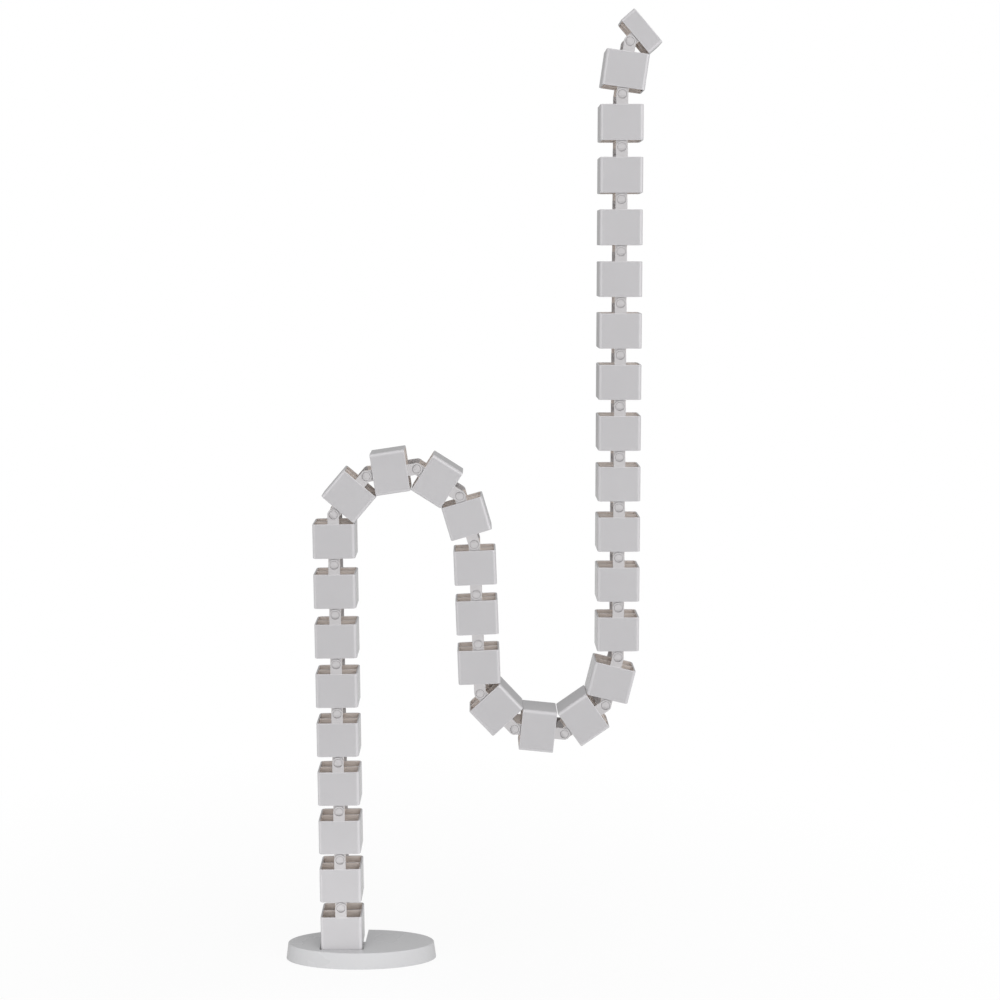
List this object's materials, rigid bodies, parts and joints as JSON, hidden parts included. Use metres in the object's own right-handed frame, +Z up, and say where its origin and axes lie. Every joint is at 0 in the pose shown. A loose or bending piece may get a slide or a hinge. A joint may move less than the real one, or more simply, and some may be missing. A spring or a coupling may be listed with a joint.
{
  "type": "cable spine",
  "caption": "Chain of hinged square cable links, each with a cross wall, standing on a weighted oval foot and ending in a desk mount.",
  "frame": {"origin": "on the floor, under the middle of the foot", "axes": "+Z up, +X toward the desk end, +Y away from the front"},
  "size_m": [0.2983, 0.052, 0.7571],
  "materials": {
    "foot_paint": "satin",
    "pad_rubber": "matte",
    "link_plastic": "satin"
  },
  "bodies": {
    "foot": {"base_plate": "foot_paint", "base_pad": "pad_rubber"},
    "link_01": {"link_01": "link_plastic"},
    "link_02": {"link_02": "link_plastic"},
    "link_03": {"link_03": "link_plastic"},
    "link_04": {"link_04": "link_plastic"},
    "link_05": {"link_05": "link_plastic"},
    "link_06": {"link_06": "link_plastic"},
    "link_07": {"link_07": "link_plastic"},
    "link_08": {"link_08": "link_plastic"},
    "link_09": {"link_09": "link_plastic"},
    "link_10": {"link_10": "link_plastic"},
    "link_11": {"link_11": "link_plastic"},
    "link_12": {"link_12": "link_plastic"},
    "link_13": {"link_13": "link_plastic"},
    "link_14": {"link_14": "link_plastic"},
    "link_15": {"link_15": "link_plastic"},
    "link_16": {"link_16": "link_plastic"},
    "link_17": {"link_17": "link_plastic"},
    "link_18": {"link_18": "link_plastic"},
    "link_19": {"link_19": "link_plastic"},
    "link_20": {"link_20": "link_plastic"},
    "link_21": {"link_21": "link_plastic"},
    "link_22": {"link_22": "link_plastic"},
    "link_23": {"link_23": "link_plastic"},
    "link_24": {"link_24": "link_plastic"},
    "link_25": {"link_25": "link_plastic"},
    "link_26": {"link_26": "link_plastic"},
    "link_27": {"link_27": "link_plastic"},
    "link_28": {"link_28": "link_plastic"},
    "link_29": {"link_29": "link_plastic"},
    "link_30": {"link_30": "link_plastic"},
    "link_31": {"link_31": "link_plastic"},
    "link_32": {"link_32": "link_plastic"},
    "desk_mount": {"desk_mount": "link_plastic"}
  },
  "joints": [
    {"name": "foot_hinge", "type": "hinge", "parent": "foot", "child": "link_01", "pos_m": [-0.0147, 0, 0.0075], "axis": [0, 1, 0], "range_deg": [-5, 5]},
    {"name": "hinge_02", "type": "hinge", "parent": "link_01", "child": "link_02", "pos_m": [-0.01505, 0, 0.0475], "axis": [0, -1, 0], "range_deg": [-41, 41]},
    {"name": "hinge_03", "type": "hinge", "parent": "link_02", "child": "link_03", "pos_m": [-0.0154, 0, 0.0875], "axis": [0, 1, 0], "range_deg": [-41, 41]},
    {"name": "hinge_04", "type": "hinge", "parent": "link_03", "child": "link_04", "pos_m": [-0.01575, 0, 0.12749], "axis": [0, -1, 0], "range_deg": [-41, 41]},
    {"name": "hinge_05", "type": "hinge", "parent": "link_04", "child": "link_05", "pos_m": [-0.0161, 0, 0.16749], "axis": [0, 1, 0], "range_deg": [-41, 41]},
    {"name": "hinge_06", "type": "hinge", "parent": "link_05", "child": "link_06", "pos_m": [-0.01645, 0, 0.20749], "axis": [0, -1, 0], "range_deg": [-41, 41]},
    {"name": "hinge_07", "type": "hinge", "parent": "link_06", "child": "link_07", "pos_m": [-0.01679, 0, 0.24749], "axis": [0, 1, 0], "range_deg": [-41, 41]},
    {"name": "hinge_08", "type": "hinge", "parent": "link_07", "child": "link_08", "pos_m": [-0.01714, 0, 0.28749], "axis": [0, -1, 0], "range_deg": [-41, 41]},
    {"name": "hinge_09", "type": "hinge", "parent": "link_08", "child": "link_09", "pos_m": [-0.01749, 0, 0.32749], "axis": [0, 1, 0], "range_deg": [-41, 34]},
    {"name": "hinge_10", "type": "hinge", "parent": "link_09", "child": "link_10", "pos_m": [-0.01784, 0, 0.36749], "axis": [0, -1, 0], "range_deg": [0, 82]},
    {"name": "hinge_11", "type": "hinge", "parent": "link_10", "child": "link_11", "pos_m": [0.00814, 0, 0.3979], "axis": [0, 1, 0], "range_deg": [-82, 0]},
    {"name": "hinge_12", "type": "hinge", "parent": "link_11", "child": "link_12", "pos_m": [0.0477, 0, 0.40381], "axis": [0, -1, 0], "range_deg": [0, 82]},
    {"name": "hinge_13", "type": "hinge", "parent": "link_12", "child": "link_13", "pos_m": [0.08143, 0, 0.38232], "axis": [0, 1, 0], "range_deg": [-82, 0]},
    {"name": "hinge_14", "type": "hinge", "parent": "link_13", "child": "link_14", "pos_m": [0.09279, 0, 0.34397], "axis": [0, -1, 0], "range_deg": [-26, 55]},
    {"name": "hinge_15", "type": "hinge", "parent": "link_14", "child": "link_15", "pos_m": [0.09426, 0, 0.304], "axis": [0, 1, 0], "range_deg": [-41, 41]},
    {"name": "hinge_16", "type": "hinge", "parent": "link_15", "child": "link_16", "pos_m": [0.09573, 0, 0.26402], "axis": [0, -1, 0], "range_deg": [-41, 41]},
    {"name": "hinge_17", "type": "hinge", "parent": "link_16", "child": "link_17", "pos_m": [0.09719, 0, 0.22405], "axis": [0, 1, 0], "range_deg": [0, 82]},
    {"name": "hinge_18", "type": "hinge", "parent": "link_17", "child": "link_18", "pos_m": [0.12452, 0, 0.19484], "axis": [0, -1, 0], "range_deg": [-82, 0]},
    {"name": "hinge_19", "type": "hinge", "parent": "link_18", "child": "link_19", "pos_m": [0.16431, 0, 0.19073], "axis": [0, 1, 0], "range_deg": [0, 82]},
    {"name": "hinge_20", "type": "hinge", "parent": "link_19", "child": "link_20", "pos_m": [0.19704, 0, 0.21373], "axis": [0, -1, 0], "range_deg": [-82, 0]},
    {"name": "hinge_21", "type": "hinge", "parent": "link_20", "child": "link_21", "pos_m": [0.20664, 0, 0.25256], "axis": [0, 1, 0], "range_deg": [-27, 54]},
    {"name": "hinge_22", "type": "hinge", "parent": "link_21", "child": "link_22", "pos_m": [0.20664, 0, 0.29256], "axis": [0, -1, 0], "range_deg": [-41, 41]},
    {"name": "hinge_23", "type": "hinge", "parent": "link_22", "child": "link_23", "pos_m": [0.20664, 0, 0.33256], "axis": [0, 1, 0], "range_deg": [-41, 41]},
    {"name": "hinge_24", "type": "hinge", "parent": "link_23", "child": "link_24", "pos_m": [0.20664, 0, 0.37256], "axis": [0, -1, 0], "range_deg": [-41, 41]},
    {"name": "hinge_25", "type": "hinge", "parent": "link_24", "child": "link_25", "pos_m": [0.20664, 0, 0.41256], "axis": [0, 1, 0], "range_deg": [-41, 41]},
    {"name": "hinge_26", "type": "hinge", "parent": "link_25", "child": "link_26", "pos_m": [0.20664, 0, 0.45256], "axis": [0, -1, 0], "range_deg": [-41, 41]},
    {"name": "hinge_27", "type": "hinge", "parent": "link_26", "child": "link_27", "pos_m": [0.20664, 0, 0.49256], "axis": [0, 1, 0], "range_deg": [-41, 41]},
    {"name": "hinge_28", "type": "hinge", "parent": "link_27", "child": "link_28", "pos_m": [0.20664, 0, 0.53256], "axis": [0, -1, 0], "range_deg": [-41, 41]},
    {"name": "hinge_29", "type": "hinge", "parent": "link_28", "child": "link_29", "pos_m": [0.20664, 0, 0.57256], "axis": [0, 1, 0], "range_deg": [-41, 41]},
    {"name": "hinge_30", "type": "hinge", "parent": "link_29", "child": "link_30", "pos_m": [0.20664, 0, 0.61256], "axis": [0, -1, 0], "range_deg": [-41, 41]},
    {"name": "hinge_31", "type": "hinge", "parent": "link_30", "child": "link_31", "pos_m": [0.20664, 0, 0.65256], "axis": [0, 1, 0], "range_deg": [-41, 41]},
    {"name": "hinge_32", "type": "hinge", "parent": "link_31", "child": "link_32", "pos_m": [0.20664, 0, 0.69256], "axis": [0, -1, 0], "range_deg": [-33, 49]},
    {"name": "desk_hinge", "type": "hinge", "parent": "link_32", "child": "desk_mount", "pos_m": [0.21221, 0, 0.73217], "axis": [0, 1, 0], "range_deg": [-82, 0]}
  ]
}
